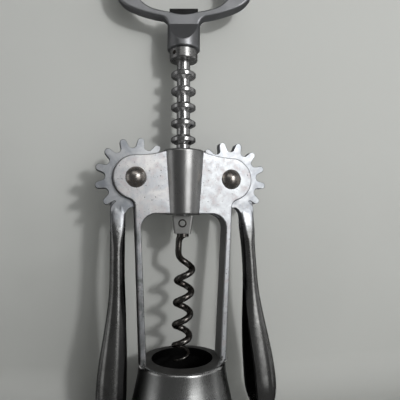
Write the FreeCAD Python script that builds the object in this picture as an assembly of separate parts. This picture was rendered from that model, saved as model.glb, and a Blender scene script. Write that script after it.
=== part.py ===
"""Wing corkscrew: a bell-mouthed frame, two toothed wings, a round rack and a worm that turns inside it.

Millimetres, +Z up, +X to the right, -Y to the front. The origin is the centre of the bell's mouth, so the
corkscrew stands on the bell with its wings down and its rack drawn right up. Heights named "..._up" are
measured upwards from the wings' pivots, and heights named "..._down" downwards from them.
"""
import FreeCAD, Part
import math
import os

V = FreeCAD.Vector
UP = V(0, 0, 1)
ACROSS = V(0, 1, 0)

# Rack and gears. The pitch radius and the ring spacing both follow from the module.
gear_module = 2.0
gear_tooth_count = 13
gear_tip_radius = 14.8
gear_root_radius = 11.0
gear_thickness = 3.8
tooth_base_width = 3.1
tooth_tip_width = 2.5
tooth_flank_start = 0.6
first_tooth = -1
last_tooth = 8
mesh_centre_deg = -3.2
mesh_backlash_deg = 4.4

# Pivots and rivets
pivot_height = 95.0
pivot_half_spacing = 18.2
rivet_radius = 2.2
rivet_head_radius = 3.85
rivet_head_height = 2.3
rivet_tail_radius = 3.3
rivet_tail_height = 1.3
rivet_clearance = 0.06

# Frame casting: cheek plates, arms and barrel
cheek_half_depth = 4.0
cheek_lobe_radius = 8.3
cheek_shoulder_up = 10.3
cheek_fillet = 3.0
cheek_crown_half_width = 7.15
cheek_edge_round = 0.45
slot_side_clearance = 0.2
slot_tip_clearance = 0.6
window_top_down = 13.4
window_corner_radius = 5.5
arm_width = 2.35
arm_top_half_span = 18.5
arm_foot_half_span = 16.1
barrel_top_up = 10.8
barrel_bottom_down = 13.7
barrel_top_radius = 8.15
barrel_bottom_radius = 6.7
barrel_edge_round = 0.8
rack_bore_clearance = 0.2

# Bell
bell_rim_height = 27.6
bell_rim_drop = 0.5
bell_rim_radius = 16.2
bell_throat_reach = 3.3
bell_mouth_radius = 21.4
bell_wall = 1.9
bell_deck_thickness = 3.0
bell_rim_round = 1.1
bell_mouth_round = 0.7
cork_hole_radius = 11.5

# Plastic neck guide inside the bell
bottle_bore_radius = 15.25
bottle_bore_length = 15.0
bottle_lead_in = 1.0
guide_throat_clearance = 0.3
guide_mouth_inset = 1.2
guide_wall_clearance = 0.1

# Rack sleeve
ring_radius = 4.75
ring_rim_width = 1.8
ring_rim_round = 0.3
ring_flank_deg = 25.0
ring_neck_radius = 2.55
ring_count = 9
sleeve_bore_radius = 1.6

# Spindle, its lug, the collar and the two cross pins
spindle_radius = 1.5
lug_top_half_width = 4.05
lug_bottom_half_width = 3.1
lug_half_depth = 3.0
lug_height = 6.8
lug_edge_round = 0.7
lug_gap = 0.3
worm_pin_radius = 1.1
worm_pin_down = 16.9
worm_pin_proud = 0.15
collar_bottom_up = 45.8
collar_height = 4.1
collar_radius = 5.4
collar_edge_round = 0.5
collar_pin_radius = 0.8
collar_pin_turn_deg = 39.0
end_play = 0.1
stop_gap = 0.3
handle_turn_deg = -13.6

# Worm: a round wire with a plug at its top and a ground point
wire_radius = 1.2
worm_radius = 2.8
worm_pitch = 8.35
worm_turns = 5.02
worm_shank_down = 30.3
worm_lean_deg = 2.4
worm_axis_shift = 1.45
worm_plug_radius = 2.25
worm_plug_depth = 5.2
worm_plug_proud = 1.2
worm_root_taper = 2.4
worm_shank_bend = 8.0
worm_tight_turns = 1.52
worm_tight_rise = 2.05
worm_tight_power = 1.25
worm_point_radius = 0.22
wire_lap_inset = 0.02
worm_point_turns = 1.31

# Opener head
neck_radius = 6.3
neck_edge_round = 0.4
neck_half_width = 6.0
facet_start = 2.1
facet_height = 7.5
head_half_thickness = 2.5
head_centre_above_neck = 26.4
head_half_width = 27.4
head_half_height = 14.6
head_flat_radius = 52.0
opening_half_width = 19.0
opening_half_height = 11.7
opening_flat_radius = 40.0
opening_drop = 0.5
head_shoulder_fillet = 3.2
head_edge_round = 0.7
claw_half_width = 5.5
claw_reach = 2.1
claw_half_thickness = 0.9
claw_recess = 1.5
claw_ledge_below = 0.9
claw_ledge_curve = 1.0
spindle_socket_depth = 8.5

# Wing levers. Spans are measured from the corkscrew's centre line, on a fully closed wing.
lever_waist_inner = 21.7
lever_waist_outer = 27.1
lever_waist_half_depth = 3.1
lever_bowl_inner = 20.2
lever_bowl_outer = 31.5
lever_bowl_half_depth = 5.9
lever_top_down = 8.0
lever_top_sink = 0.3
lever_waist_down = 22.0
lever_oval_down = 27.0
lever_inner_bend_down = 32.0
lever_inner_end_down = 70.0
lever_outer_bend_down = 38.0
lever_bowl_down = 80.0
lever_tip_down = 92.4
lever_wall = 1.35
lever_ridge_share = 0.5
lever_top_squareness = 7.0
lever_flat_start_down = 26.0
lever_flat_full_down = 56.0
lever_waist_pinch = 0.9
lever_bowl_pinch = 0.24
lip_setback = 1.8
lip_setback_start_down = 44.0
lip_setback_full_down = 74.0
web_sink = 0.12
web_gear_overlap = 0.3
web_end_down = 18.0
web_inner_point_rise = 5.0
web_outer_point_rise = 4.0
channel_top_down = 42.5
channel_ramp = 9.0
channel_tip_share = 0.92
channel_start_share = 0.32
channel_extra_pinch = 0.25
channel_mouth_overrun = 1.0

# How far a cutting tool runs past what it cuts, and how close counts as touching
cut_overrun = 1.0
near = 0.01

# Worked-out sizes
pitch_radius = gear_module * gear_tooth_count / 2
ring_pitch = math.pi * gear_module
tooth_pitch_deg = 360.0 / gear_tooth_count
slot_half_depth = gear_thickness / 2 + slot_side_clearance
rack_bore_radius = ring_radius + rack_bore_clearance
rivet_bore_radius = rivet_radius + rivet_clearance
collar_top_up = collar_bottom_up + collar_height
neck_bottom_up = collar_top_up
rack_travel = collar_bottom_up - barrel_top_up - stop_gap
groove_up = pitch_radius * math.radians(mesh_centre_deg)
lug_top_down = barrel_bottom_down + lug_gap
lug_bottom_down = lug_top_down + lug_height
bell_edge = bell_rim_height - bell_rim_drop
throat_corner = bell_edge - bell_throat_reach
skirt_angle = math.atan2(bell_mouth_radius - bell_rim_radius, throat_corner)
throat_round = bell_throat_reach / math.tan(skirt_angle / 2)
throat_end = throat_corner - bell_throat_reach * math.cos(skirt_angle)


def above(up):
    """Height above the bell's mouth of something that far above the pivots."""
    return pivot_height + up


def below(down):
    """Height above the bell's mouth of something that far below the pivots."""
    return pivot_height - down


def ease(value, start, end):
    """Smooth step from 0 to 1 as value goes from start to end."""
    share = min(max((value - start) / (end - start), 0.0), 1.0)
    return share * share * (3 - 2 * share)


def turned(points):
    """Solid of revolution about Z of a closed outline of (radius, height) points."""
    corners = [V(radius, 0, height) for radius, height in points]
    outline = Part.makePolygon(corners + corners[:1])
    return Part.Face(outline).revolve(V(), UP, 360)


def slab(edges, half_depth):
    """Solid between y = -half_depth and +half_depth of a closed outline of edges in the XZ plane."""
    face = Part.Face(Part.Wire(edges))
    face.translate(V(0, -half_depth, 0))
    return face.extrude(V(0, 2 * half_depth, 0))


def line(a, b):
    return Part.LineSegment(a, b).toShape()


def arc(a, middle, b):
    return Part.Arc(a, middle, b).toShape()


def polygon_slab(points, half_depth):
    corners = [V(x, 0, z) for x, z in points]
    return slab([line(a, b) for a, b in zip(corners, corners[1:] + corners[:1])], half_depth)


def cylinder(radius, low, high):
    return Part.makeCylinder(radius, high - low, V(0, 0, low))


def cross_cylinder(radius, x, z, half_length):
    return Part.makeCylinder(radius, 2 * half_length, V(x, -half_length, z), ACROSS)


def outline_edges(solid, half_depth):
    """The edges round a slab's front and back faces."""
    return [edge for edge in solid.Edges
            if edge.BoundBox.YLength < near and abs(edge.BoundBox.Center.y) > half_depth - near]


def rims(solid):
    """The round edges of a turned solid."""
    return [edge for edge in solid.Edges if len(edge.Vertexes) == 1]


def mirrored(shape):
    return shape.mirror(V(), V(1, 0, 0))


def spun(shape, degrees):
    """A shape turned about the corkscrew's own axis."""
    shape.rotate(V(), UP, degrees)
    return shape


# Frame casting

def cheek_half():
    """The right half of the two cheeks, the right arm and the solid between them, as one slab."""
    lobe = V(pivot_half_spacing, 0, pivot_height)
    shoulder = V(0, 0, above(cheek_shoulder_up))
    curve_start = V(cheek_crown_half_width, 0, above(cheek_shoulder_up))
    curve_end = lobe + V(0, 0, cheek_lobe_radius)
    rise = curve_start.z - curve_end.z
    run = curve_end.x - curve_start.x
    curve_radius = (run * run + rise * rise) / (2 * rise)
    half_turn = math.asin(run / curve_radius) / 2
    back = curve_radius * math.sin(half_turn)
    curve_middle = curve_end + V(-back, 0, curve_radius * (1 - math.cos(half_turn)))
    fillet_centre_x = arm_top_half_span + cheek_fillet
    reach = cheek_lobe_radius + cheek_fillet
    fillet_drop = math.sqrt(reach ** 2 - (fillet_centre_x - pivot_half_spacing) ** 2)
    fillet_centre = V(fillet_centre_x, 0, pivot_height - fillet_drop)
    outward = (fillet_centre - lobe).normalize()
    lobe_end = lobe + outward * cheek_lobe_radius
    arm_top = fillet_centre - V(cheek_fillet, 0, 0)
    to_middle = ((lobe_end - fillet_centre).normalize() + V(-1, 0, 0)).normalize()
    fillet_middle = fillet_centre + to_middle * cheek_fillet
    foot_height = bell_edge - bell_deck_thickness / 2
    foot_outer = V(arm_foot_half_span, 0, foot_height)
    foot_inner = V(arm_foot_half_span - arm_width, 0, foot_height)
    corner_low = V(arm_top_half_span - arm_width, 0, below(window_top_down + window_corner_radius))
    corner_centre = corner_low - V(window_corner_radius, 0, 0)
    corner_high = corner_centre + V(0, 0, window_corner_radius)
    corner_middle = corner_centre + V(1, 0, 1).normalize() * window_corner_radius
    window_middle = V(0, 0, corner_high.z)
    half = slab([
        line(shoulder, curve_start),
        arc(curve_start, curve_middle, curve_end),
        arc(curve_end, lobe + V(cheek_lobe_radius, 0, 0), lobe_end),
        arc(lobe_end, fillet_middle, arm_top),
        line(arm_top, foot_outer),
        line(foot_outer, foot_inner),
        line(foot_inner, corner_low),
        arc(corner_low, corner_middle, corner_high),
        line(corner_high, window_middle),
        line(window_middle, shoulder),
    ], cheek_half_depth)

    outline = [edge for edge in outline_edges(half, cheek_half_depth) if edge.BoundBox.XMax > near]
    return half.makeFillet(cheek_edge_round, outline)


def barrel():
    height = barrel_top_up + barrel_bottom_down
    cone = Part.makeCone(barrel_bottom_radius, barrel_top_radius, height, V(0, 0, below(barrel_bottom_down)))
    return cone.makeFillet(barrel_edge_round, rims(cone))


def bell_outer(height):
    """The bell's outer radius at a height: upright at the rim, a curved throat, then a straight skirt."""
    if height > throat_end:
        return bell_rim_radius + throat_round - math.sqrt(throat_round ** 2 - (bell_edge - height) ** 2)
    return bell_rim_radius + (throat_corner - height) * math.tan(skirt_angle)


def bell_side(radius_change, top, bottom):
    """The bell's line between two heights above and below the throat's end, moved in or out by a wall."""
    heights = (top, (top + throat_end) / 2, throat_end, bottom)
    points = [V(bell_outer(height) + radius_change, 0, height) for height in heights]
    return [arc(*points[:3]), line(points[2], points[3])]


def bell():
    """The bell as one turned shell: a sloping deck round the cork hole and a flared skirt."""
    ceiling = bell_rim_height - bell_deck_thickness
    hole_top = V(cork_hole_radius, 0, bell_rim_height)
    hole_bottom = V(cork_hole_radius, 0, ceiling)
    rim = V(bell_outer(bell_edge), 0, bell_edge)
    mouth_outer = V(bell_outer(0), 0, 0)
    mouth_inner = V(bell_outer(0) - bell_wall, 0, 0)
    ceiling_corner = V(bell_outer(ceiling) - bell_wall, 0, ceiling)
    outline = bell_side(0, bell_edge, 0) + bell_side(-bell_wall, ceiling, 0) + [
        line(hole_top, rim),
        line(mouth_outer, mouth_inner),
        line(ceiling_corner, hole_bottom),
        line(hole_bottom, hole_top),
    ]
    shell = Part.Face(Part.Wire(Part.__sortEdges__(outline))).revolve(V(), UP, 360)
    for radius, rounding in ((bell_rim_radius, bell_rim_round), (bell_mouth_radius, bell_mouth_round)):
        lip = [round_edge for round_edge in rims(shell) if abs(round_edge.BoundBox.XMax - radius) < near]
        shell = shell.makeFillet(rounding, lip)
    return shell


def gear_slot(side):
    """The space between the cheeks for one gear."""
    radius = gear_tip_radius + slot_tip_clearance
    return cross_cylinder(radius, side * pivot_half_spacing, pivot_height, slot_half_depth)


def frame_casting():
    right = cheek_half()
    body = right.multiFuse([mirrored(right), barrel(), bell()])
    bore_low = below(barrel_bottom_down + cut_overrun)
    bore_high = above(barrel_top_up + cut_overrun)
    tools = [cylinder(rack_bore_radius, bore_low, bore_high)]
    for side in (-1, 1):
        tools.append(gear_slot(side))
        tools.append(cross_cylinder(rivet_bore_radius, side * pivot_half_spacing, pivot_height,
                                    cheek_half_depth + cut_overrun))
    return body.cut(tools).removeSplitter()


def neck_guide():
    """The plastic liner that centres the bottle's lip under the cork hole."""
    ceiling = bell_rim_height - bell_deck_thickness
    bottom = guide_mouth_inset
    wall_offset = -(bell_wall + guide_wall_clearance)
    throat = cork_hole_radius + guide_throat_clearance
    seat = bottom + bottle_bore_length
    outer_top = V(bell_outer(ceiling) + wall_offset, 0, ceiling)
    outer_bottom = V(bell_outer(bottom) + wall_offset, 0, bottom)
    lead = V(bottle_bore_radius + bottle_lead_in, 0, bottom)
    bore_low = V(bottle_bore_radius, 0, bottom + bottle_lead_in)
    bore_high = V(bottle_bore_radius, 0, seat)
    throat_low = V(throat, 0, seat)
    throat_high = V(throat, 0, ceiling)
    outline = bell_side(wall_offset, ceiling, bottom) + [
        line(outer_bottom, lead),
        line(lead, bore_low),
        line(bore_low, bore_high),
        line(bore_high, throat_low),
        line(throat_low, throat_high),
        line(throat_high, outer_top),
    ]
    return Part.Face(Part.Wire(Part.__sortEdges__(outline))).revolve(V(), UP, 360)


def rivet(side):
    """A wing's axle: domed in front, riveted over a smaller dome behind."""
    shank = cross_cylinder(rivet_radius, 0, 0, cheek_half_depth)
    front = dome(rivet_head_radius, rivet_head_height)
    front.rotate(V(), V(1, 0, 0), 90)
    front.translate(V(0, -cheek_half_depth, 0))
    tail = dome(rivet_tail_radius, rivet_tail_height)
    tail.rotate(V(), V(1, 0, 0), -90)
    tail.translate(V(0, cheek_half_depth, 0))
    whole = shank.multiFuse([front, tail]).removeSplitter()
    whole.translate(V(side * pivot_half_spacing, 0, pivot_height))
    return whole


def dome(radius, height):
    """A spherical cap that stands on the XY plane."""
    ball_radius = (radius * radius + height * height) / (2 * height)
    ball = Part.makeSphere(ball_radius, V(0, 0, height - ball_radius))
    return ball.common(Part.makeCylinder(ball_radius, height))


# Rack sleeve

def rack_sleeve():
    """A tube with round rings that the gears mesh with whichever way the handle is turned."""
    bottom = below(lug_top_down - end_play)
    top = above(collar_bottom_up - end_play)
    flank = (ring_radius - ring_neck_radius) * math.tan(math.radians(ring_flank_deg))
    lowest_ring = groove_up - ring_pitch * 1.5
    outline = [(sleeve_bore_radius, bottom), (ring_neck_radius, bottom)]
    for index in range(ring_count):
        middle = above(lowest_ring + ring_pitch * index)
        half_rim = ring_rim_width / 2
        outline.append((ring_neck_radius, middle - half_rim - flank))
        outline.append((ring_radius - ring_rim_round, middle - half_rim))
        outline.append((ring_radius, middle - half_rim + ring_rim_round))
        outline.append((ring_radius, middle + half_rim - ring_rim_round))
        outline.append((ring_radius - ring_rim_round, middle + half_rim))
        outline.append((ring_neck_radius, middle + half_rim + flank))
    outline.append((ring_neck_radius, top))
    outline.append((sleeve_bore_radius, top))
    return turned(outline)


# Spindle, worm and handle, which turn together

def spindle():
    """The core rod, and below the sleeve the lug that holds the worm."""
    top = below(lug_top_down)
    rod = cylinder(spindle_radius, top - cut_overrun, above(neck_bottom_up + spindle_socket_depth))
    bottom = below(lug_bottom_down)
    lug = polygon_slab([(-lug_top_half_width, top), (lug_top_half_width, top),
                        (lug_bottom_half_width, bottom), (-lug_bottom_half_width, bottom)], lug_half_depth)
    uprights = [edge for edge in lug.Edges
                if abs(edge.Vertexes[0].Z - edge.Vertexes[1].Z) > lug_height / 2]
    lug = lug.makeFillet(lug_edge_round, uprights)
    socket = cylinder(worm_plug_radius, bottom - cut_overrun, bottom + worm_plug_depth)
    pin_hole = cross_cylinder(worm_pin_radius, 0, below(worm_pin_down), lug_half_depth + cut_overrun)
    whole = rod.fuse(lug).cut([socket, pin_hole, cross_pin(collar_radius + cut_overrun)])
    return spun(whole, handle_turn_deg)


def cross_pin(half_length):
    """The collar's pin and the hole it fits, before the handle is turned."""
    pin = cross_cylinder(collar_pin_radius, 0, above(collar_bottom_up + collar_height / 2), half_length)
    return spun(pin, -collar_pin_turn_deg)


def collar_pin():
    """The cross pin that fixes the collar to the spindle."""
    return spun(cross_pin(collar_radius), handle_turn_deg)


def stop_collar():
    """The collar that bears on the rack sleeve and lands on the barrel when the wings are up."""
    bottom = above(collar_bottom_up)
    top = above(collar_top_up)
    ring = cylinder(collar_radius, bottom, top)
    ring = ring.makeFillet(collar_edge_round, rims(ring))
    rod_hole = cylinder(spindle_radius, bottom - cut_overrun, top + cut_overrun)
    ring = ring.cut([rod_hole, cross_pin(collar_radius + cut_overrun)])
    return spun(ring, handle_turn_deg)


def worm_pin():
    """The cross pin that holds the worm's plug in the lug."""
    pin = cross_cylinder(worm_pin_radius, 0, below(worm_pin_down), lug_half_depth + worm_pin_proud)
    return spun(pin, handle_turn_deg)


def worm_drop(turns):
    """How far the helix falls in that many turns; its last turns are a little tighter."""
    tight = max(turns - (worm_turns - worm_tight_turns), 0)
    return worm_pitch * turns - worm_tight_rise * tight ** worm_tight_power


def wire_station(turns, height):
    """Centre of the wire's section, and the direction from the worm's own centre line to it."""
    angle = math.pi - 2 * math.pi * turns
    outward = V(math.cos(angle), math.sin(angle), 0)
    axis_x = worm_axis_shift - math.tan(math.radians(worm_lean_deg)) * (below(lug_bottom_down) - height)
    return V(axis_x, 0, height) + outward * worm_radius, outward


def wire_stations(plug_bottom):
    """Stations down the wire: the straight shank, the bend into the helix, and the helix to its point."""
    root_end = plug_bottom - worm_root_taper
    bend_top = below(worm_shank_down) + worm_shank_bend / 2
    turns_and_heights = [(0, root_end), (0, (root_end + bend_top) / 2), (0, bend_top)]
    bend_steps = 5
    for step in range(1, bend_steps):
        fallen = worm_shank_bend * step / bend_steps
        turned_part = fallen * fallen / (2 * worm_shank_bend)
        turns_and_heights.append((turned_part / worm_pitch, bend_top - fallen))
    first = worm_shank_bend / 2 / worm_pitch
    steps_per_turn = 14
    steps = round((worm_turns - first) * steps_per_turn)
    for step in range(steps + 1):
        turns = first + (worm_turns - first) * step / steps
        turns_and_heights.append((turns, below(worm_shank_down) - worm_drop(turns)))
    return turns_and_heights


def worm_wire(plug_bottom):
    """The wire as a round pipe, with a tapered point that starts just inside the pipe's end."""
    stations = [(turns,) + wire_station(turns, height) for turns, height in wire_stations(plug_bottom)]
    taper_turns = worm_turns - worm_point_turns
    taper_at = next(index for index, station in enumerate(stations) if station[0] > taper_turns)
    curve = Part.BSplineCurve()
    curve.interpolate([centre for _, centre, _ in stations])
    curve_start = curve.FirstParameter
    curve_end = curve.LastParameter
    body_end = curve.parameter(stations[taper_at][1])
    point_start = curve.parameter(stations[taper_at - 1][1])

    def section(parameter, station, radius):
        along = curve.tangent(parameter)[0]
        return round_section(curve.value(parameter), along, stations[station][2], radius)

    def stretch(start, end):
        part = curve.copy()
        part.segment(start, end)
        return Part.Wire(part.toShape())

    body = stretch(curve_start, body_end).makePipeShell([section(curve_start, 0, wire_radius)], True, True)
    point = Part.BRepOffsetAPI.MakePipeShell(stretch(point_start, curve_end))
    point.setFrenetMode(True)
    point.add(section(point_start, taper_at - 1, wire_radius - wire_lap_inset))
    point.add(section(curve_end, -1, worm_point_radius))
    point.build()
    point.makeSolid()
    return body.fuse(point.shape())


def round_section(centre, along, outward, radius):
    """A circle across the wire that always starts on the outward side, so that a loft doesn't twist."""
    circle = Part.Wire(Part.makeCircle(radius))
    circle.Placement = FreeCAD.Placement(centre, FreeCAD.Rotation(outward, V(), along, "ZXY"))
    return circle


def worm():
    """Plug, root with a hollow taper, straight shank and right-handed helix, ending in a ground point."""
    plug_top = below(lug_bottom_down) + worm_plug_depth
    plug_bottom = below(lug_bottom_down) - worm_plug_proud
    plug = cylinder(worm_plug_radius, plug_bottom, plug_top)
    root_top = V(0, 0, plug_bottom)
    root_end, outward = wire_station(0, plug_bottom - worm_root_taper)
    root_steps = 4
    root_sections = []
    for step in range(root_steps + 1):
        angle = math.pi / 2 * step / root_steps
        centre = root_top + (root_end - root_top) * math.sin(angle)
        centre.z = plug_bottom - worm_root_taper * (1 - math.cos(angle))
        radius = worm_plug_radius + (wire_radius - worm_plug_radius) * math.sin(angle)
        root_sections.append(round_section(centre, UP, outward, radius))
    root = Part.makeLoft(root_sections, True, True)
    hole = cross_cylinder(worm_pin_radius, 0, below(worm_pin_down), worm_plug_radius + cut_overrun)
    whole = plug.multiFuse([root, worm_wire(plug_bottom)]).cut(hole)
    return spun(whole, handle_turn_deg)


def oval_corner(half_width, half_height, flat_radius):
    """Where an oval's long arc meets its end arc, and the end arc's radius, from the oval's centre."""
    centre_drop = flat_radius - half_height
    end_radius = (flat_radius ** 2 - half_width ** 2 - centre_drop ** 2) / (2 * (flat_radius - half_width))
    share = flat_radius / (flat_radius - end_radius)
    return (half_width - end_radius) * share, centre_drop * (share - 1)


def opening_slab(centre):
    """The opening of the bottle opener."""
    x, z = oval_corner(opening_half_width, opening_half_height, opening_flat_radius)
    low_right = centre + V(x, 0, -z)
    high_right = centre + V(x, 0, z)
    low_left = centre + V(-x, 0, -z)
    high_left = centre + V(-x, 0, z)
    return slab([
        arc(low_left, centre - V(0, 0, opening_half_height), low_right),
        arc(low_right, centre + V(opening_half_width, 0, 0), high_right),
        arc(high_right, centre + V(0, 0, opening_half_height), high_left),
        arc(high_left, centre - V(opening_half_width, 0, 0), low_left),
    ], head_half_thickness + cut_overrun)


def head_plate(centre, bottom):
    """The flat of the head: an oval that runs down through two shoulders into the neck."""
    x, z = oval_corner(head_half_width, head_half_height, head_flat_radius)
    arc_centre = centre + V(0, 0, head_flat_radius - head_half_height)
    reach = head_flat_radius + head_shoulder_fillet
    fillet_x = neck_half_width + head_shoulder_fillet
    edges = [line(V(-neck_half_width, 0, bottom), V(neck_half_width, 0, bottom)),
             arc(centre + V(x, 0, z), centre + V(0, 0, head_half_height), centre + V(-x, 0, z))]
    for side in (1, -1):
        fillet_centre = arc_centre + V(side * fillet_x, 0, -math.sqrt(reach ** 2 - fillet_x ** 2))
        neck_end = fillet_centre - V(side * head_shoulder_fillet, 0, 0)
        towards = (arc_centre - fillet_centre).normalize()
        arc_start = fillet_centre + towards * head_shoulder_fillet
        fillet_middle = fillet_centre + (towards - V(side, 0, 0)).normalize() * head_shoulder_fillet
        corner = centre + V(side * x, 0, -z)
        lower = ((arc_start - arc_centre).normalize() + (corner - arc_centre).normalize()).normalize()
        edges += [
            line(V(side * neck_half_width, 0, bottom), neck_end),
            arc(neck_end, fillet_middle, arc_start),
            arc(arc_start, arc_centre + lower * head_flat_radius, corner),
            arc(corner, centre + V(side * head_half_width, 0, 0), centre + V(side * x, 0, z)),
        ]
    return slab(Part.__sortEdges__(edges), head_half_thickness)


def neck():
    """The round neck, cut by two sloping facets down to the thickness of the flat."""
    bottom = above(neck_bottom_up)
    facet_low = bottom + facet_start
    facet_high = facet_low + facet_height
    stem = cylinder(neck_radius, bottom, facet_high)
    stem = stem.makeFillet(neck_edge_round, [rim for rim in rims(stem) if rim.BoundBox.ZMax < bottom + near])
    beyond = neck_radius + cut_overrun
    top = facet_high + cut_overrun
    side = [V(-beyond, -neck_radius, facet_low), V(-beyond, -head_half_thickness, facet_high),
            V(-beyond, -head_half_thickness, top), V(-beyond, -beyond, top), V(-beyond, -beyond, facet_low)]
    wedge = Part.Face(Part.makePolygon(side + side[:1])).extrude(V(2 * beyond, 0, 0))
    return stem.cut([wedge, wedge.mirror(V(), ACROSS)])


def opener_head():
    """Handle and crown-cap opener in one: the neck, the oval flat and the cap claw."""
    centre = V(0, 0, above(neck_bottom_up + head_centre_above_neck))
    opening_centre = centre - V(0, 0, opening_drop)
    bottom = above(neck_bottom_up + facet_start)
    plate = head_plate(centre, bottom).cut(opening_slab(opening_centre))
    outline = [edge for edge in outline_edges(plate, head_half_thickness)
               if edge.BoundBox.ZMax > bottom + near]
    plate = plate.makeFillet(head_edge_round, outline)
    sill = opening_centre.z - opening_half_height
    ledge = sill - claw_ledge_below
    low_left = V(-claw_half_width, 0, ledge + claw_ledge_curve)
    low_right = V(claw_half_width, 0, ledge + claw_ledge_curve)
    top_left = V(-claw_half_width, 0, sill + claw_reach)
    top_right = V(claw_half_width, 0, sill + claw_reach)
    recess = slab([arc(low_left, V(0, 0, ledge), low_right), line(low_right, top_right),
                   line(top_right, top_left), line(top_left, low_left)], claw_recess)
    recess.translate(V(0, -head_half_thickness, 0))
    claw = polygon_slab([(-claw_half_width, ledge), (claw_half_width, ledge),
                         (claw_half_width, sill + claw_reach), (-claw_half_width, sill + claw_reach)],
                        claw_half_thickness)
    claw.translate(V(0, claw_recess - head_half_thickness + claw_half_thickness, 0))
    socket = cylinder(spindle_radius, above(neck_bottom_up) - cut_overrun,
                      above(neck_bottom_up + spindle_socket_depth))
    whole = plate.fuse(neck()).cut(recess).fuse(claw).cut(socket).removeSplitter()
    return spun(whole, handle_turn_deg)


# Wing levers, modelled as a right wing in the fully closed position

def gear_point(radius, angle_deg, sideways=0.0):
    """A point of the gear; its angle goes up from the side that faces the rack, and sideways follows it."""
    angle = math.radians(angle_deg)
    x = pivot_half_spacing - radius * math.cos(angle) + sideways * math.sin(angle)
    z = pivot_height + radius * math.sin(angle) + sideways * math.cos(angle)
    return V(x, 0, z)


def gear():
    """The toothed part of the wing: finger-shaped teeth round the top, and a plain disc below."""
    closed_tooth_deg = mesh_centre_deg + mesh_backlash_deg / 2
    half_base = tooth_base_width / 2
    half_tip = tooth_tip_width / 2
    base_radius = gear_root_radius + tooth_flank_start
    tip_centre_radius = gear_tip_radius - half_tip
    base_lean = math.sqrt(base_radius ** 2 - half_base ** 2)
    edges = []
    for index in range(first_tooth, last_tooth + 1):
        angle = closed_tooth_deg + tooth_pitch_deg * index
        low_base = gear_point(base_lean, angle, -half_base)
        low_tip = gear_point(tip_centre_radius, angle, -half_tip)
        high_tip = gear_point(tip_centre_radius, angle, half_tip)
        high_base = gear_point(base_lean, angle, half_base)
        edges += [line(low_base, low_tip), arc(low_tip, gear_point(gear_tip_radius, angle), high_tip),
                  line(high_tip, high_base)]
        next_angle = angle + tooth_pitch_deg
        if index < last_tooth:
            edges.append(arc(high_base, gear_point(gear_root_radius, angle + tooth_pitch_deg / 2),
                             gear_point(base_lean, next_angle, -half_base)))
        else:
            first_angle = closed_tooth_deg + tooth_pitch_deg * first_tooth
            end_root = gear_point(gear_root_radius, angle + tooth_pitch_deg / 2)
            start_root = gear_point(gear_root_radius, first_angle - tooth_pitch_deg / 2)
            bottom_root = gear_point(gear_root_radius, (angle + first_angle + 360) / 2)
            edges += [line(high_base, end_root), arc(end_root, bottom_root, start_root),
                      line(start_root, gear_point(base_lean, first_angle, -half_base))]
    return slab(Part.__sortEdges__(edges), gear_thickness / 2)


def lever_size(down):
    """Inner span, outer span and half depth of the lever at a distance below the pivot."""
    inner = lever_waist_inner + (lever_bowl_inner - lever_waist_inner) * ease(
        down, lever_inner_bend_down, lever_inner_end_down)
    outer = lever_waist_outer + (lever_bowl_outer - lever_waist_outer) * ease(
        down, lever_outer_bend_down, lever_bowl_down)
    buried = gear_thickness / 2 - lever_top_sink
    depth = buried + (lever_waist_half_depth - buried) * ease(down, lever_top_down, lever_waist_down)
    depth += (lever_bowl_half_depth - lever_waist_half_depth) * ease(
        down, lever_outer_bend_down, lever_bowl_down)
    past = min(max(down - lever_bowl_down, 0) / (lever_tip_down - lever_bowl_down), 0.995)
    rounding = math.sqrt(1 - past * past)
    middle = (inner + outer) / 2
    half_width = (outer - inner) / 2 * rounding
    return middle - half_width, middle + half_width, depth * rounding


def lever_pinch(down):
    """How much less deep the section is at its flat inner side than at its ridge."""
    return lever_waist_pinch + (lever_bowl_pinch - lever_waist_pinch) * ease(
        down, lever_flat_start_down, lever_flat_full_down)


def lever_setback(down, inner, outer):
    """How far the front lip of the lever's mouth stands back from the rear lip."""
    width_share = (outer - inner) / (lever_bowl_outer - lever_bowl_inner)
    return lip_setback * width_share * ease(down, lip_setback_start_down, lip_setback_full_down)


def lever_section(down, inner, outer, depth, pinch, setback=0.0):
    """A section squarish at the web and oval below, cut off on its inner side with its front lip set back."""
    power = lever_top_squareness + (2 - lever_top_squareness) * ease(down, lever_top_down, lever_oval_down)
    ridge = inner + (outer - inner) * lever_ridge_share
    rear_angle = math.asin((1 - pinch) ** (power / 2))
    inner_reach = (ridge - inner) / math.cos(rear_angle) ** (2 / power)
    front_angle = math.acos(((ridge - inner - setback) / inner_reach) ** (power / 2))
    quarter_steps = 4

    def half(side, lip_angle):
        points = []
        for step in range(quarter_steps):
            angle = lip_angle + (math.pi / 2 - lip_angle) * step / quarter_steps
            points.append(V(ridge - inner_reach * math.cos(angle) ** (2 / power),
                            side * depth * math.sin(angle) ** (2 / power), 0))
        for step in range(quarter_steps):
            angle = math.pi / 2 * (1 - step / quarter_steps)
            points.append(V(ridge + (outer - ridge) * math.cos(angle) ** (2 / power),
                            side * depth * math.sin(angle) ** (2 / power), 0))
        return points

    points = half(1, rear_angle) + [V(outer, 0, 0)] + half(-1, front_angle)[::-1]
    back = Part.BSplineCurve()
    back.interpolate(points)
    wire = Part.Wire([back.toShape(), line(points[-1], points[0])])
    wire.translate(V(0, 0, below(down)))
    return wire


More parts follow.
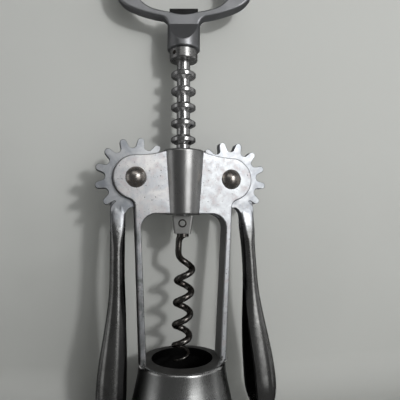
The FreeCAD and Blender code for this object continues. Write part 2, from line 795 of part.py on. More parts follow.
def lever_body():
    """The lever's full outside, from inside the web down to its rounded tip."""
    straight_steps = 16
    tip_steps = 5
    downs = [lever_top_down + (lever_bowl_down - lever_top_down) * step / straight_steps
             for step in range(straight_steps + 1)]
    for step in range(1, tip_steps + 1):
        share = math.sin(math.pi / 2 * step / (tip_steps + 0.5))
        downs.append(lever_bowl_down + (lever_tip_down - lever_bowl_down) * share)
    sections = []
    for down in downs:
        inner, outer, depth = lever_size(down)
        setback = lever_setback(down, inner, outer)
        sections.append(lever_section(down, inner, outer, depth, lever_pinch(down), setback))
    return Part.makeLoft(sections, True, False)


def lever_channel():
    """The hollow of the lever, open towards the frame, with a ramped start."""
    steps = 12
    end_down = lever_bowl_down + (lever_tip_down - lever_bowl_down) * channel_tip_share
    sections = []
    for step in range(steps + 1):
        down = channel_top_down + (end_down - channel_top_down) * step / steps
        inner, outer, depth = lever_size(down)
        left = max(channel_ramp - (down - channel_top_down), 0) / channel_ramp
        opening = math.sqrt(1 - (1 - channel_start_share ** 2) * left * left)
        floor = inner + (outer - inner - lever_wall) * opening
        mouth = inner - channel_mouth_overrun
        pinch = lever_pinch(down) + channel_extra_pinch
        sections.append(lever_section(down, mouth, floor, (depth - lever_wall) * opening, pinch))
    return Part.makeLoft(sections, True, False)


def web():
    """The flat web between the gear and the lever; it runs out where the lever has its full depth."""
    inner = lever_waist_inner + web_sink
    outer = lever_waist_outer - web_sink
    corner_radius = inner - pivot_half_spacing
    pivot = V(pivot_half_spacing, 0, pivot_height)
    corner_centre = V(pivot_half_spacing, 0, below(gear_root_radius - web_gear_overlap + corner_radius))
    corner_start = corner_centre + V(0, 0, corner_radius)
    corner_middle = corner_centre + V(1, 0, 1).normalize() * corner_radius
    corner_end = corner_centre + V(corner_radius, 0, 0)
    inner_end = V(inner, 0, below(web_end_down - web_inner_point_rise))
    point = V((inner + outer) / 2, 0, below(web_end_down))
    outer_end = V(outer, 0, below(web_end_down - web_outer_point_rise))
    outer_top = V(outer, 0, below(gear_root_radius))
    return slab([
        line(pivot, corner_start),
        arc(corner_start, corner_middle, corner_end),
        line(corner_end, inner_end),
        line(inner_end, point),
        line(point, outer_end),
        line(outer_end, outer_top),
        line(outer_top, pivot),
    ], gear_thickness / 2)


def wing(side, open_deg):
    """One wing, opened by an angle from fully closed; side is -1 on the left and 1 on the right."""
    bore = cross_cylinder(rivet_bore_radius, pivot_half_spacing, pivot_height, gear_thickness)
    body = lever_body().fuse(web()).fuse(gear()).cut([lever_channel(), bore])
    body.rotate(V(pivot_half_spacing, 0, pivot_height), ACROSS, -open_deg)
    if side < 0:
        body = mirrored(body)
    return body


pieces = {
    "frame_casting": frame_casting(),
    "neck_guide": neck_guide(),
    "left_wing": wing(-1, 0),
    "right_wing": wing(1, mesh_backlash_deg),
    "left_wing_rivet": rivet(-1),
    "right_wing_rivet": rivet(1),
    "rack_sleeve": rack_sleeve(),
    "spindle": spindle(),
    "stop_collar": stop_collar(),
    "collar_pin": collar_pin(),
    "opener_head": opener_head(),
    "worm": worm(),
    "worm_pin": worm_pin(),
}

os.makedirs("parts", exist_ok=True)
for name, shape in pieces.items():
    solids = shape.Solids
    shape = solids[0] if len(solids) == 1 else Part.makeCompound(solids)
    shape.exportStep(os.path.join("parts", name + ".step"))
    print(name, len(solids), "solid", round(shape.Volume, 1), shape.isValid())
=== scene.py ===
"""Wing corkscrew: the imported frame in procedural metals, on a pale floor in front of a pale backdrop."""
import math

import bpy
from mathutils import Matrix, Vector


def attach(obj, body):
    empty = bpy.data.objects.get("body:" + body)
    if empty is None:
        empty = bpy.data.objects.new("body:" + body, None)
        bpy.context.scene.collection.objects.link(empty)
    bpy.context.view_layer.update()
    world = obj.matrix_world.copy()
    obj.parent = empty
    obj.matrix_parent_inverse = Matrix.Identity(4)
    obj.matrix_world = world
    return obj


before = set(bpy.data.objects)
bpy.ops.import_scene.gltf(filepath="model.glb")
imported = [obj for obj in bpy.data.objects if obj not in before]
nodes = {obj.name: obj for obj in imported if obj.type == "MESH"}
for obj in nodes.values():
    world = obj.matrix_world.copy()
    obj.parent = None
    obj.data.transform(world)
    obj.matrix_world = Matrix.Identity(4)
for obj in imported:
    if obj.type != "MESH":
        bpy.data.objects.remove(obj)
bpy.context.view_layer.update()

# Places and sizes are in millimetres, but in metres for the lights
MM = 0.001


def grey(value):
    """The grey colour of that brightness."""
    return (value, value, value)


# Camera: where it stands, the way it looks, and its lens
CAMERA_AT = Vector((-29.776, -150.393, 81.027))
CAMERA_YAW = math.radians(13.65)
CAMERA_PITCH = math.radians(2.23)
CAMERA_ROLL = math.radians(0.20)
SENSOR_WIDTH = 36
FOCAL_LENGTH = 36
CLIP_START = 5.0
CLIP_END = 10000.0

# Backdrop: it leans forward from its foot, bends behind the corkscrew, and meets the floor in a sweep that is
# small behind the bell and wide at the sides
BACKDROP_FOOT_Y = 22.3
BACKDROP_LEAN_Y = 6.4
BACKDROP_LEAN_HEIGHT = 186.0
BEND_HALF_WIDTH = 20.0
BEND_STEPS = 16
SWEEP_RADIUS = 0.8
SIDE_SWEEP_RADIUS = 16.0
SWEEP_STEPS = 8
STAGE_REACH = 900.0

# Stage colours, with painted light and shade: high and low, left and right, paler high on the left and darker
# low on the left; and in reflections a painted shadow near the corkscrew that turns paler far from it; then
# where each change begins and ends, and how far the clouds in it move it
STAGE_HIGH_LEFT = (0.695, 0.705, 0.680)
STAGE_HIGH_RIGHT = (0.610, 0.618, 0.595)
STAGE_LOW_LEFT = (0.500, 0.508, 0.488)
STAGE_LOW_RIGHT = (0.550, 0.557, 0.535)
STAGE_REFLECTED_SHADOW = grey(0.12)
STAGE_FAR_REFLECTED = grey(0.42)
STAGE_LEFTWARD = (25, -60)
STAGE_DOWNWARD = (120, 0)
STAGE_ASIDE = (50, 170)
STAGE_CLOUDS = 12

# Frame casting: heights and distances from the centre line that tell its faces apart. Its cheeks are the two
# plates that hold the wings, and its jambs the sides of the window below them.
RIM_TOP = 27.7
RIM_FOOT = 25.9
DECK_RADIUS = 16.0
HOLE_RADIUS = 12.0
BARREL_RADIUS = 8.3
CHEEK_FRONT = 4.02
CHEEK_TOP = 105.4
CHEEK_FOOT = 81.6
JAMB_TOP = 84.0

# Where the casting's skin turns from warm to cool, and where painted shade darkens it down the left arm
WARM_TO_COOL_X = (-9, 9)
LEFT_ARM_X = (0, -9)
LEFT_ARM_Z = (88, 72)

# The share of a face's normal that makes it look upwards, forwards or backwards, or sideways
LOOKS_UP = 0.93
LOOKS_FORWARD = 0.35
LOOKS_SIDEWAYS = 0.7

# Wings: the heights between which a lever's hollow is painted dark as shade, the lever's middle from the
# centre line, and the heights between which the gear's skin turns into the lever's, and the painted shade on
# the lever's side that faces the frame gets darker and wider
HOLLOW_FOOT = 10.0
HOLLOW_TOP = 57.5
LEVER_MIDDLE = 25.4
SKIN_CHANGE = (84.0, 71.0)
SHADE_DARKENS = (60, 55)
SHADE_WIDENS = (60, 36)

# Opener head: how far the handle is turned, and where its cap claw is
HANDLE_TURN = math.radians(-13.6)
CLAW_FOOT = 158.0
CLAW_TOP = 161.6
CLAW_HALF_WIDTH = 5.6
HEAD_FRONT = 2.45

# Curled lips where the arms run out on the bell's rim: each a part of a circle that comes forward as it curls
LIP_ACROSS = 15.4
LIP_FRONT = -4.2
LIP_HEIGHT = 27.4
LIP_RADIUS = 1.1
LIP_START_DEG = 170
LIP_SWEEP_DEG = 240
LIP_FORWARD = 0.25
LIP_STEPS = 8

# Seam round the pin in the spindle's lug, and the radius of the wire that draws it and the lips
SEAM_RADIUS = 1.3
SEAM_FRONT = -3.0
SEAM_HEIGHT = 78.1
SEAM_STEPS = 16
WIRE_RADIUS = 0.28

# Colours inside the metals, among them painted shade for the left arm, the levers' sides that face the frame
# and the edges; and the tints that darken a metal where it is seen at a low angle
ARM_SHADE = (0.38, 0.40, 0.40)
GEAR_TINT = (0.68, 0.66, 0.68)
LEVER_PALE = (0.52, 0.52, 0.51)
LEVER_DARK = (0.34, 0.34, 0.33)
LEVER_SHADE_HIGH = grey(0.20)
LEVER_SHADE_LOW = grey(0.05)
EDGE_SHADE = grey(0.10)
FLECK = (0.16, 0.16, 0.17)
TARNISH = (0.42, 0.40, 0.37)
DARK_RIM = (0.45, 0.45, 0.45, 1)
BLACK_RIM = (0.20, 0.20, 0.20, 1)

# Grain: features per millimetre along each axis
EVEN_GRAIN = (2.0, 2.0, 2.0)
DRAWN_GRAIN = (6.0, 6.0, 0.12)
HEAD_GRAIN = (4.0, 0.5, 4.0)
CLAW_GRAIN = (3.0, 3.0, 3.0)

# Light from all round, and what the camera sees of it; the point that the lights are aimed at, in metres
WORLD_LIGHT = (0.05, 0.05, 0.05, 1)
WORLD_SEEN = (0.42, 0.425, 0.41, 1)
LIGHTS_AIM = Vector((0, 0, 0.09))

# Where a Mix node keeps its two colours and its result
MIX_A, MIX_B, MIX_RESULT = 6, 7, 2


# Node helpers

class Shader:
    """A material under construction: the Principled shader and shortcuts for the nodes that feed it.

    Its keywords are the Principled shader's own sockets, with _ for a space.
    """

    def __init__(self, name, **sockets):
        self.material = bpy.data.materials.new(name)
        self.material.use_nodes = True
        self.tree = self.material.node_tree
        self.principled = self.tree.nodes["Principled BSDF"]
        for socket, value in sockets.items():
            self.principled.inputs[socket.replace("_", " ")].default_value = value
        self.place = self.node("ShaderNodeTexCoord").outputs["Object"]

    def node(self, kind, inputs=None, **settings):
        """A new node: each input is a number, a colour, or the socket that feeds it."""
        made = self.tree.nodes.new(kind)
        for setting, value in settings.items():
            setattr(made, setting, value)
        for socket, value in (inputs or {}).items():
            if isinstance(value, bpy.types.NodeSocket):
                self.tree.links.new(value, made.inputs[socket])
            else:
                made.inputs[socket].default_value = value
        return made

    def set(self, socket, value):
        """Feeds a socket of the Principled shader."""
        self.tree.links.new(value, self.principled.inputs[socket])

    def stretched(self, scale):
        """Object coordinates in millimetres times a scale along each axis."""
        scale = [value / MM for value in scale]
        return self.node("ShaderNodeMapping", {"Vector": self.place, "Scale": scale}).outputs["Vector"]

    def noise(self, scale, detail=3.0, roughness=0.5, distortion=0.0):
        """Noise; scale is its features per millimetre, one number or one along each axis."""
        if isinstance(scale, (int, float)):
            scale = (scale, scale, scale)
        return self.node("ShaderNodeTexNoise", {
            "Vector": self.stretched(scale), "Scale": 1.0, "Detail": detail, "Roughness": roughness,
            "Distortion": distortion}).outputs["Fac"]

    def cells(self, scale):
        """Distance to the nearest of scattered points, and that point's random colour."""
        made = self.node("ShaderNodeTexVoronoi", {"Vector": self.stretched((scale,) * 3), "Scale": 1.0})
        return made.outputs["Distance"], made.outputs["Color"]

    def span(self, value, low, high, to_low=0.0, to_high=1.0, smooth=True):
        """Value from low..high to to_low..to_high, clamped."""
        return self.node("ShaderNodeMapRange", {
            "Value": value, "From Min": low, "From Max": high, "To Min": to_low, "To Max": to_high},
            interpolation_type="SMOOTHSTEP" if smooth else "LINEAR").outputs["Result"]

    def math(self, operation, a, b=0.0):
        """What a Math node's operation makes of one or two numbers."""
        return self.node("ShaderNodeMath", {0: a, 1: b}, operation=operation).outputs["Value"]

    def mix(self, share, a, b):
        """One of two colours, or a share of each."""
        made = self.node("ShaderNodeMix", {"Factor": share}, data_type="RGBA")
        for socket, value in ((made.inputs[MIX_A], a), (made.inputs[MIX_B], b)):
            if isinstance(value, bpy.types.NodeSocket):
                self.tree.links.new(value, socket)
            else:
                socket.default_value = (*value, 1)
        return made.outputs[MIX_RESULT]

    def blend(self, share, a, b):
        """One of two numbers, or a share of each."""
        made = self.node("ShaderNodeMix", {"Factor": share, "A": a, "B": b}, data_type="FLOAT")
        return made.outputs["Result"]

    def axis(self, which):
        """One of the object coordinates, in millimetres."""
        parts = self.node("ShaderNodeSeparateXYZ", {"Vector": self.stretched((1, 1, 1))})
        return parts.outputs[which]

    def edge_lines(self, radius):
        """1 along every edge, out to a radius in mm, and 0 on open faces."""
        rounded = self.node("ShaderNodeBevel", {"Radius": radius * MM}, samples=8).outputs["Normal"]
        flat = self.node("ShaderNodeNewGeometry").outputs["Normal"]
        along = self.node("ShaderNodeVectorMath", {0: rounded, 1: flat}, operation="DOT_PRODUCT")
        return self.span(along.outputs["Value"], 0.995, 0.93)

    def bumps(self, heights, edge=0.0):
        """Feeds the normal: (height, strength, distance in mm) bumps over edges rounded by a radius in mm."""
        normal = None
        if edge:
            normal = self.node("ShaderNodeBevel", {"Radius": edge * MM}, samples=6).outputs["Normal"]
        for height, strength, distance in heights:
            inputs = {"Height": height, "Strength": strength, "Distance": distance * MM}
            if normal is not None:
                inputs["Normal"] = normal
            normal = self.node("ShaderNodeBump", inputs).outputs["Normal"]
        self.set("Normal", normal)


def stained_metal(name, warm, cool, stain, tint, roughness, edge, pit_share):
    """Satin plate, warmer on its left, with painted shade down its left arm and along its edges, and with
    stains, scratches, pits and flecks.

    pit_share is the share of the scattered points that are pits.
    """
    shader = Shader(name, Metallic=1.0)
    bright = shader.mix(shader.span(shader.axis("X"), *WARM_TO_COOL_X), warm, cool)
    cloud = shader.noise(0.16, detail=5, roughness=0.62, distortion=0.6)
    blotch = shader.noise(0.42, detail=4, roughness=0.6)
    speck = shader.noise(2.6, detail=3, roughness=0.7)
    # Painted shade down the left arm, darker low and towards the left
    left_arm_shade = shader.math("MULTIPLY", shader.span(shader.axis("Z"), *LEFT_ARM_Z),
                              shader.span(shader.axis("X"), *LEFT_ARM_X))
    bright = shader.mix(left_arm_shade, bright, ARM_SHADE)
    colour = shader.mix(shader.span(cloud, 0.36, 0.66), bright, stain)
    colour = shader.mix(shader.span(blotch, 0.48, 0.70, 0.0, 0.85), colour, tint)
    distance, scattered = shader.cells(0.55)
    rarely = shader.span(shader.node("ShaderNodeSeparateColor", {"Color": scattered}).outputs["Red"],
                         1 - pit_share, 1 - pit_share + 0.01, smooth=False)
    pit = shader.math("MULTIPLY", shader.span(distance, 0.06, 0.17, 1.0, 0.0), rarely)
    fleck = shader.span(shader.noise(1.3, detail=5, roughness=0.75), 0.60, 0.68, 0.0, 0.75)
    colour = shader.mix(shader.math("MAXIMUM", shader.math("MULTIPLY", pit, 0.75), fleck), colour, FLECK)
    # Painted shade along every edge
    colour = shader.mix(shader.math("MULTIPLY", shader.edge_lines(0.5), 0.85), colour, EDGE_SHADE)
    shader.set("Base Color", colour)
    scratch = shader.noise((0.5, 0.5, 9.0), detail=2, roughness=0.7)
    rough = shader.math("ADD", shader.span(blotch, 0.3, 0.7, roughness - 0.06, roughness + 0.07),
                        shader.span(speck, 0.3, 0.75, -0.03, 0.05))
    shader.set("Roughness", rough)
    shader.bumps([(cloud, 0.25, 0.25), (speck, 0.12, 0.04), (scratch, 0.10, 0.015), (pit, 0.5, -0.06)], edge)
    return shader.material


def satin_metal(name, colour, dark, roughness, edge, grain=DRAWN_GRAIN, grain_strength=0.10, bump=0.12,
                metallic=1.0):
    """Satin metal with a drawn or even grain, soft cloudy shading and a few small marks."""
    shader = Shader(name, Metallic=metallic, Specular_Tint=DARK_RIM)
    cloud = shader.noise(0.11, detail=4, roughness=0.55, distortion=0.3)
    grain_height = shader.noise(grain, detail=3, roughness=0.6)
    speck = shader.noise(3.2, detail=2, roughness=0.6)
    base = shader.mix(shader.span(cloud, 0.35, 0.7), colour, dark)
    base = shader.mix(shader.span(grain_height, 0.35, 0.8, 0.0, 0.22), base, dark)
    shader.set("Base Color", base)
    rough = shader.math("ADD", shader.span(cloud, 0.3, 0.7, roughness - 0.03, roughness + 0.05),
                        shader.span(grain_height, 0.3, 0.75, -0.03, 0.05))
    shader.set("Roughness", rough)
    shader.bumps([(grain_height, grain_strength, 0.02), (speck, bump, 0.02)], edge)
    return shader.material


def wing_metal(name, gear_pale, gear_stain, shade_from, shade_to, foot_gain):
    """One casting: a pale, stained gear whose skin turns into the lever's dark satin below the web.

    The lever's side that faces the frame gets painted shade. It begins where the skin faces the frame by the
    first of the two shares of squarely, and is full from the second on. Towards the lever's foot the painted
    shade gets darker, and both shares are divided by foot_gain.
    """
    shader = Shader(name, Metallic=1.0, Specular_Tint=DARK_RIM)
    height = shader.axis("Z")
    wobble = shader.span(shader.noise(0.5, detail=2), 0.3, 0.7, -1.5, 1.5)
    lower = shader.span(shader.math("ADD", height, wobble), *SKIN_CHANGE)
    cloud = shader.noise(0.16, detail=5, roughness=0.62, distortion=0.6)
    blotch = shader.noise(0.42, detail=4, roughness=0.6)
    speck = shader.noise(2.6, detail=3, roughness=0.7)
    grain = shader.noise((3.0, 3.0, 0.10), detail=3, roughness=0.6)
    gear = shader.mix(shader.span(cloud, 0.36, 0.66), gear_pale, gear_stain)
    gear = shader.mix(shader.span(blotch, 0.52, 0.78, 0.0, 0.5), gear, GEAR_TINT)
    lever = shader.mix(shader.span(cloud, 0.35, 0.7), LEVER_PALE, LEVER_DARK)
    lever = shader.mix(shader.span(grain, 0.45, 0.8, 0.0, 0.3), lever, LEVER_DARK)
    side = shader.math("SIGN", shader.axis("X"))
    outward = shader.node("ShaderNodeSeparateXYZ", {
        "Vector": shader.node("ShaderNodeTexCoord").outputs["Normal"]}).outputs["X"]
    inward = shader.math("MULTIPLY", shader.math("MULTIPLY", side, outward),
                         shader.span(height, *SHADE_WIDENS, -1.0, -foot_gain))
    # Painted shade on the lever's side that faces the frame, darker towards the lever's foot
    lever_shade = shader.mix(shader.span(height, *SHADE_DARKENS), LEVER_SHADE_HIGH, LEVER_SHADE_LOW)
    lever = shader.mix(shader.span(inward, shade_from, shade_to), lever, lever_shade)
    colour = shader.mix(lower, gear, lever)
    # Painted shade along every edge
    edge_lines = shader.math("MULTIPLY", shader.edge_lines(0.4), 0.6)
    shader.set("Base Color", shader.mix(edge_lines, colour, EDGE_SHADE))
    gear_rough = shader.span(blotch, 0.3, 0.7, 0.30, 0.42)
    lever_rough = shader.math("ADD", shader.span(cloud, 0.3, 0.7, 0.19, 0.26),
                              shader.span(grain, 0.3, 0.75, -0.02, 0.04))
    shader.set("Roughness", shader.blend(lower, gear_rough, lever_rough))
    shader.bumps([(cloud, 0.12, 0.20), (speck, 0.07, 0.02), (grain, 0.03, 0.012)], 0.35)
    return shader.material


def bright_metal(name, colour, roughness, edge):
    """Bright plated metal with turning marks and a little tarnish."""
    shader = Shader(name, Metallic=1.0, Specular_Tint=DARK_RIM)
    tarnish = shader.noise(0.5, detail=5, roughness=0.65, distortion=0.5)
    rings = shader.noise((0.3, 0.3, 14.0), detail=2, roughness=0.6)
    shader.set("Base Color", shader.mix(shader.span(tarnish, 0.5, 0.8, 0.0, 0.5), colour, TARNISH))
    shader.set("Roughness", shader.math("ADD", shader.span(tarnish, 0.35, 0.75, roughness, roughness + 0.14),
                                        shader.span(rings, 0.3, 0.7, -0.02, 0.04)))
    shader.bumps([(rings, 0.12, 0.012), (tarnish, 0.08, 0.03)], edge)
    return shader.material


def dark_metal(name, colour, rust, roughness, edge):
    """Steel that is rusty in patches, with a hammered, glossy skin that is dark at its rim."""
    shader = Shader(name, Metallic=1.0, Specular_Tint=BLACK_RIM)
    patches = shader.noise(0.6, detail=5, roughness=0.65, distortion=0.8)
    dents = shader.noise(1.1, detail=2, roughness=0.5)
    speck = shader.noise(5.0, detail=2, roughness=0.6)
    shader.set("Base Color", shader.mix(shader.span(patches, 0.42, 0.75), colour, rust))
    shader.set("Roughness", shader.span(patches, 0.3, 0.75, roughness - 0.05, roughness + 0.14))
    shader.bumps([(dents, 0.30, 0.14), (speck, 0.15, 0.02)], edge)
    return shader.material


def black_plastic(name):
    """Matt black plastic with a fine grain."""
    shader = Shader(name, Specular_IOR_Level=0.08)
    grain = shader.noise(4.0, detail=3, roughness=0.6)
    shader.set("Base Color", shader.mix(shader.span(grain, 0.3, 0.7), grey(0.003), grey(0.007)))
    shader.set("Roughness", shader.span(grain, 0.3, 0.7, 0.55, 0.75))
    shader.bumps([(grain, 0.3, 0.03)], 0.15)
    return shader.material


# The materials themselves

plate = stained_metal(
    "plate", warm=(0.97, 0.96, 0.95), cool=(0.87, 0.90, 0.92), stain=(0.74, 0.76, 0.79),
    tint=(0.84, 0.80, 0.81), roughness=0.37, edge=0.35, pit_share=0.4)
# The sides of the cheeks and arms: dark metal as painted shade
flank_shade = satin_metal("flank_shade", grey(0.26), grey(0.18), roughness=0.40, edge=0.35, grain=EVEN_GRAIN)
# The left wing's gear colours are darker than the right's as painted shade; each lever's side that faces the
# frame gets its own painted shade
left_wing = wing_metal(
    "left_wing_metal", gear_pale=(0.70, 0.72, 0.74), gear_stain=(0.46, 0.49, 0.53),
    shade_from=0.16, shade_to=0.50, foot_gain=3.2)
right_wing = wing_metal(
    "right_wing_metal", gear_pale=(0.86, 0.88, 0.90), gear_stain=(0.58, 0.61, 0.65),
    shade_from=0.58, shade_to=0.76, foot_gain=1.0)
# The window's sides, which face into it: dark metal as painted shade
jamb_shade = satin_metal("jamb_shade", grey(0.25), grey(0.19), roughness=0.55, edge=0.35, grain=EVEN_GRAIN, metallic=0.3)
# The levers' hollows, painted dark as shade
hollow = satin_metal("hollow", grey(0.10), grey(0.06), roughness=0.50, edge=0.20, grain=EVEN_GRAIN)
turned = satin_metal(
    "turned", (0.76, 0.76, 0.75), (0.64, 0.64, 0.63),
    roughness=0.31, edge=0.30, grain_strength=0.03, bump=0.03)
bell = satin_metal(
    "bell", (0.72, 0.73, 0.72), (0.56, 0.57, 0.56),
    roughness=0.29, edge=0.30, grain_strength=0.03, bump=0.03)
# The top round the bell's hole, darkened as a painted reflection of shade
deck_shade = satin_metal("deck_shade", (0.50, 0.50, 0.49), (0.36, 0.36, 0.35), roughness=0.42, edge=0.20, bump=0.2)
rim = bright_metal("rim", (0.80, 0.81, 0.80), roughness=0.17, edge=0.10)
# The inside of the bell's hole, painted near black as shade
bore_shade = satin_metal("bore_shade", grey(0.03), grey(0.02), roughness=0.50, edge=0.20)
head = satin_metal(
    "head", (0.68, 0.69, 0.71), (0.56, 0.57, 0.59), roughness=0.36, edge=0.50, grain=HEAD_GRAIN, bump=0.2)
# The cap claw and its recess, painted dark as shade
claw = satin_metal("claw", grey(0.07), grey(0.05), roughness=0.45, edge=0.25, grain=CLAW_GRAIN, bump=0.3)
chrome = bright_metal("chrome", grey(0.90), roughness=0.15, edge=0.12)
collar = bright_metal("collar", (0.70, 0.70, 0.69), roughness=0.22, edge=0.20)
lug = satin_metal(
    "lug", (0.88, 0.88, 0.86), (0.68, 0.68, 0.66), roughness=0.48, edge=0.40, grain=EVEN_GRAIN, bump=0.5)
rivet = dark_metal("rivet", (0.70, 0.67, 0.63), rust=(0.60, 0.49, 0.43), roughness=0.24, edge=0.10)
worm_black = dark_metal("worm_black", (0.26, 0.25, 0.235), rust=(0.20, 0.16, 0.14), roughness=0.13, edge=0.0)
pin = dark_metal("pin", (0.08, 0.075, 0.07), rust=(0.14, 0.12, 0.10), roughness=0.35, edge=0.10)
plastic = black_plastic("plastic")


# Which piece gets which materials

def dress(node, *materials, choose=None):
    """Gives a CAD node its materials; choose says which of them a face gets."""
    mesh = nodes[node].data
    mesh.materials.clear()
    for material in materials:
        mesh.materials.append(material)
    if choose:
        for face in mesh.polygons:
            face.material_index = materials.index(choose(face))


def casting_metal(face):
    """A face's material: on the bell up to its rim's top, then on the barrel, the cheeks and the arms; sides,
    window sides, the top round the hole and the hole itself get painted shade.
    """
    at = face.center / MM
    out = math.hypot(at.x, at.y)
    if at.z < RIM_TOP:
        if face.normal.z > LOOKS_UP and out < DECK_RADIUS:
            return deck_shade
        if out < HOLE_RADIUS or at.x * face.normal.x + at.y * face.normal.y < 0:
            return bore_shade
        return rim if at.z > RIM_FOOT else bell
    if out < BARREL_RADIUS and (abs(at.y) > CHEEK_FRONT or at.z > CHEEK_TOP or at.z < CHEEK_FOOT):
        return turned
    if abs(face.normal.y) > LOOKS_FORWARD:
        return plate
    return jamb_shade if at.z < JAMB_TOP and at.x * face.normal.x < 0 else flank_shade


def in_hollow(face):
    """Whether a wing's face is on the floor or on one of the two facing walls of its lever's hollow."""
    at, out = face.center / MM, face.normal
    if not HOLLOW_FOOT < at.z < HOLLOW_TOP:
        return False
    is_wall = at.y * out.y < 0
    is_floor = at.x * out.x < 0 and abs(out.x) > LOOKS_SIDEWAYS and abs(at.x) > LEVER_MIDDLE
    return is_wall or is_floor


def on_claw(face):
    """Whether a face of the head, which is turned with the handle, is on the cap claw or in its recess."""
    at = Matrix.Rotation(-HANDLE_TURN, 3, "Z") @ (face.center / MM)
    in_band = CLAW_FOOT < at.z < CLAW_TOP and abs(at.x) < CLAW_HALF_WIDTH
    return in_band and at.y > -HEAD_FRONT


dress("frame_casting", plate, turned, deck_shade, flank_shade, bore_shade, bell, rim, jamb_shade, choose=casting_metal)
dress("neck_guide", plastic)
dress("left_wing", left_wing, hollow, choose=lambda face: hollow if in_hollow(face) else left_wing)
dress("right_wing", right_wing, hollow, choose=lambda face: hollow if in_hollow(face) else right_wing)
dress("left_wing_rivet", rivet)
dress("right_wing_rivet", rivet)
dress("rack_sleeve", chrome)
dress("spindle", lug)
dress("stop_collar", collar)
dress("collar_pin", pin)
dress("opener_head", head, claw, choose=lambda face: claw if on_claw(face) else head)
dress("worm", worm_black)
dress("worm_pin", lug)


# Small details that ride on the pieces

def bent_wire(name, points, radius, material, body, closed=False):
    """A round wire through points in millimetres."""
    curve = bpy.data.curves.new(name, "CURVE")
    curve.dimensions = "3D"
    curve.bevel_depth = radius * MM
    curve.bevel_resolution = 3
    curve.use_fill_caps = True
    spline = curve.splines.new("NURBS")
    spline.points.add(len(points) - 1)
    for point, place in zip(spline.points, points):
        point.co = (*(Vector(place) * MM), 1)
    spline.order_u = 3
    spline.use_endpoint_u = not closed
    spline.use_cyclic_u = closed
    curve.materials.append(material)
    wire = bpy.data.objects.new(name, curve)
    bpy.context.collection.objects.link(wire)
    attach(wire, body)


def arm_foot_lip(name, side):
    """The curled lip of metal where an arm's front runs out on the bell's rim."""
    centre = Vector((side * LIP_ACROSS, LIP_FRONT, LIP_HEIGHT))
    points = []
    for step in range(LIP_STEPS + 1):
        share = step / LIP_STEPS
        angle = math.radians(LIP_START_DEG + LIP_SWEEP_DEG * share)
        across, up = -side * LIP_RADIUS * math.cos(angle), LIP_RADIUS * math.sin(angle)
        points.append(centre + Vector((across, -LIP_FORWARD * share, up)))
    bent_wire(name, points, WIRE_RADIUS, turned, "frame")


def pin_ring():
    """The dark seam round the pin in the spindle's lug."""
    turn = Matrix.Rotation(HANDLE_TURN, 3, "Z")
    points = []
    for step in range(SEAM_STEPS):
        angle = 2 * math.pi * step / SEAM_STEPS
        across, up = SEAM_RADIUS * math.cos(angle), SEAM_RADIUS * math.sin(angle)
        points.append(turn @ Vector((across, SEAM_FRONT, SEAM_HEIGHT + up)))
    bent_wire("pin_ring", points, WIRE_RADIUS, pin, "spindle", closed=True)


arm_foot_lip("left_arm_foot_lip", -1)
arm_foot_lip("right_arm_foot_lip", 1)
pin_ring()


# Stage: a floor that sweeps up into a close backdrop, seen only from its front

def stage_material():
    """Pale and matt with painted light and shade, darker in the metal's reflections as a painted shadow near
    the corkscrew, and clear when seen from behind.
    """
    shader = Shader("stage", Roughness=0.85, Specular_IOR_Level=0.2)
    clouds = shader.span(shader.noise(0.02, detail=2), 0.3, 0.7, -STAGE_CLOUDS, STAGE_CLOUDS)
    # Painted light and shade on the backdrop: paler high on the left, darker low on the left
    leftward = shader.span(shader.math("ADD", shader.axis("X"), clouds), *STAGE_LEFTWARD)
    low = shader.span(shader.math("ADD", shader.axis("Z"), clouds), *STAGE_DOWNWARD)
    pale = shader.mix(low, shader.mix(leftward, STAGE_HIGH_RIGHT, STAGE_HIGH_LEFT),
                      shader.mix(leftward, STAGE_LOW_RIGHT, STAGE_LOW_LEFT))
    # In the metal's reflections: a painted shadow near the corkscrew, paler far from it
    in_reflection = shader.node("ShaderNodeLightPath").outputs["Is Glossy Ray"]
    aside = shader.span(shader.math("ABSOLUTE", shader.axis("X")), *STAGE_ASIDE)
    reflected = shader.mix(aside, STAGE_REFLECTED_SHADOW, STAGE_FAR_REFLECTED)
    shader.set("Base Color", shader.mix(in_reflection, pale, reflected))
    clear = shader.node("ShaderNodeBsdfTransparent").outputs[0]
    behind = shader.node("ShaderNodeNewGeometry").outputs["Backfacing"]
    mixed = shader.node("ShaderNodeMixShader", {0: behind, 1: shader.principled.outputs[0], 2: clear})
    shader.tree.links.new(mixed.outputs[0], shader.tree.nodes["Material Output"].inputs["Surface"])
    return shader.material


def backdrop_extra(x):
    """How much further back the backdrop stands at x: from its bend leftwards it is square to the camera."""
    bend, slope = BEND_HALF_WIDTH, math.tan(CAMERA_YAW)
    if x < -bend:
        return -x * slope
    return slope * (bend - min(x, bend)) ** 2 / (4 * bend)


def sweep_radius(x):
    """The radius between floor and backdrop: small behind the bell, wide at the sides."""
    share = min(max((abs(x) - BEND_HALF_WIDTH) / BEND_HALF_WIDTH, 0), 1)
    return SWEEP_RADIUS + (SIDE_SWEEP_RADIUS - SWEEP_RADIUS) * share


def backdrop_profile(x):
    """The backdrop's (y, z) points at x: a quarter circle up from the floor, then a leaning wall."""
    radius = sweep_radius(x)
    points = []
    for step in range(SWEEP_STEPS + 1):
        angle = math.pi / 2 * step / SWEEP_STEPS
        points.append((BACKDROP_FOOT_Y - radius * (1 - math.sin(angle)), radius * (1 - math.cos(angle))))
    points += [(BACKDROP_LEAN_Y, BACKDROP_LEAN_HEIGHT), (BACKDROP_LEAN_Y, STAGE_REACH)]
    return [(y + backdrop_extra(x), z) for y, z in points]


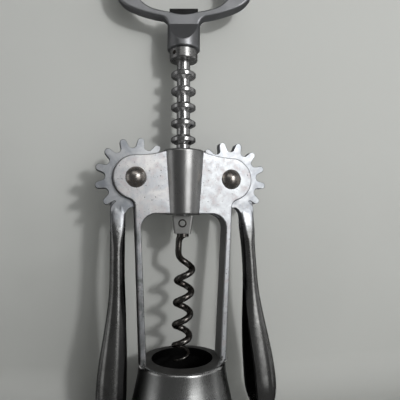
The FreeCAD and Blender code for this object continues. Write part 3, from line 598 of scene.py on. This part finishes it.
def stage_part(name, material, columns):
    """A smooth sheet through columns of points, given as x and its (y, z) points."""
    height = len(columns[0][1])
    points = [(x * MM, y * MM, z * MM) for x, profile in columns for y, z in profile]
    faces = []
    for column in range(len(columns) - 1):
        for row in range(height - 1):
            low = column * height + row
            faces.append((low, low + height, low + height + 1, low + 1))
    mesh = bpy.data.meshes.new(name)
    mesh.from_pydata(points, [], faces)
    mesh.shade_smooth()
    mesh.materials.append(material)
    part = bpy.data.objects.new(name, mesh)
    part.visible_shadow = False
    bpy.context.collection.objects.link(part)
    return part


def make_stage():
    """The backdrop, and the floor, which doesn't show in reflections."""
    material = stage_material()
    bend = [2 * BEND_HALF_WIDTH * (2 * step / BEND_STEPS - 1) for step in range(BEND_STEPS + 1)]
    across = [-STAGE_REACH] + bend + [STAGE_REACH]
    stage_part("backdrop", material, [(x, backdrop_profile(x)) for x in across])
    front_to_back = [(-STAGE_REACH, 0.0), (STAGE_REACH, 0.0)]
    floor = stage_part("floor", material, [(x, front_to_back) for x in (-STAGE_REACH, STAGE_REACH)])
    floor.visible_glossy = False


make_stage()


# Camera and lights

def make_camera():
    """The camera, aimed by its yaw and pitch and then rolled about the way it looks."""
    yaw, pitch, roll = CAMERA_YAW, CAMERA_PITCH, CAMERA_ROLL
    forward = Vector((math.sin(yaw) * math.cos(pitch), math.cos(yaw) * math.cos(pitch), math.sin(pitch)))
    right = Vector((math.cos(yaw), -math.sin(yaw), 0))
    up = right.cross(forward)
    rolled_right = right * math.cos(roll) + up * math.sin(roll)
    rolled_up = up * math.cos(roll) - right * math.sin(roll)
    data = bpy.data.cameras.new("camera")
    data.sensor_width = SENSOR_WIDTH
    data.lens = FOCAL_LENGTH
    data.clip_start = CLIP_START * MM
    data.clip_end = CLIP_END * MM
    camera = bpy.data.objects.new("camera", data)
    bpy.context.collection.objects.link(camera)
    camera.matrix_world = Matrix.Translation(CAMERA_AT * MM) @ Matrix(
        (rolled_right, rolled_up, -forward)).transposed().to_4x4()
    bpy.context.scene.camera = camera


def make_light(name, azimuth, elevation, distance, width, height, radiance, glossy=True):
    """A rectangular light aimed at the middle of the corkscrew.

    Azimuth and elevation are in degrees; azimuth 0 is in front, and it grows to the right. A light that isn't
    glossy doesn't show in reflections.
    """
    a, e = math.radians(azimuth), math.radians(elevation)
    away = Vector((math.sin(a) * math.cos(e), -math.cos(a) * math.cos(e), math.sin(e)))
    data = bpy.data.lights.new(name, "AREA")
    data.shape = "RECTANGLE"
    data.size, data.size_y = width, height
    data.energy = radiance * math.pi * width * height
    light = bpy.data.objects.new(name, data)
    bpy.context.collection.objects.link(light)
    light.location = LIGHTS_AIM + away * distance
    light.rotation_mode = "QUATERNION"
    light.rotation_quaternion = away.to_track_quat("Z", "Y")
    light.visible_glossy = glossy
    light.visible_camera = False


def make_lights():
    """A window with a bright core, dim surroundings, and a fill and a key that don't show in the metal."""
    make_light("window", 21, 13, distance=0.90, width=0.48, height=0.64, radiance=1.35)
    make_light("window_low", 23, -16, distance=0.90, width=0.40, height=0.30, radiance=0.36)
    make_light("window_core", 17, 19, distance=0.88, width=0.16, height=0.16, radiance=4.5)
    make_light("window_side", 56, 14, distance=0.92, width=0.44, height=0.70, radiance=0.15)
    make_light("right_side", 79, 0, distance=0.92, width=0.26, height=0.80, radiance=0.22)
    make_light("left_side", -84, 0, distance=0.92, width=0.40, height=0.80, radiance=0.26)
    make_light("back_left", -142, 0, distance=0.90, width=0.80, height=1.00, radiance=0.40)
    make_light("back_right", 142, 0, distance=0.90, width=0.80, height=1.00, radiance=0.40)
    make_light("ceiling", -14, 40, distance=0.90, width=0.70, height=0.40, radiance=0.45)
    make_light("fill", 25, 25, distance=0.80, width=1.40, height=1.00, radiance=0.30, glossy=False)
    make_light("key", 19, 15, distance=0.50, width=0.040, height=0.040, radiance=151, glossy=False)


def make_world():
    """A faint light from all round, which the camera sees as a pale grey."""
    world = bpy.data.worlds.new("world")
    bpy.context.scene.world = world
    world.use_nodes = True
    tree = world.node_tree
    background = tree.nodes["Background"]
    background.inputs["Strength"].default_value = 1.0
    path = tree.nodes.new("ShaderNodeLightPath")
    mix = tree.nodes.new("ShaderNodeMix")
    mix.data_type = "RGBA"
    mix.inputs[MIX_A].default_value = WORLD_LIGHT
    mix.inputs[MIX_B].default_value = WORLD_SEEN
    tree.links.new(path.outputs["Is Camera Ray"], mix.inputs["Factor"])
    tree.links.new(mix.outputs[MIX_RESULT], background.inputs["Color"])


make_camera()
make_lights()
make_world()
bpy.context.scene.view_settings.view_transform = "Standard"
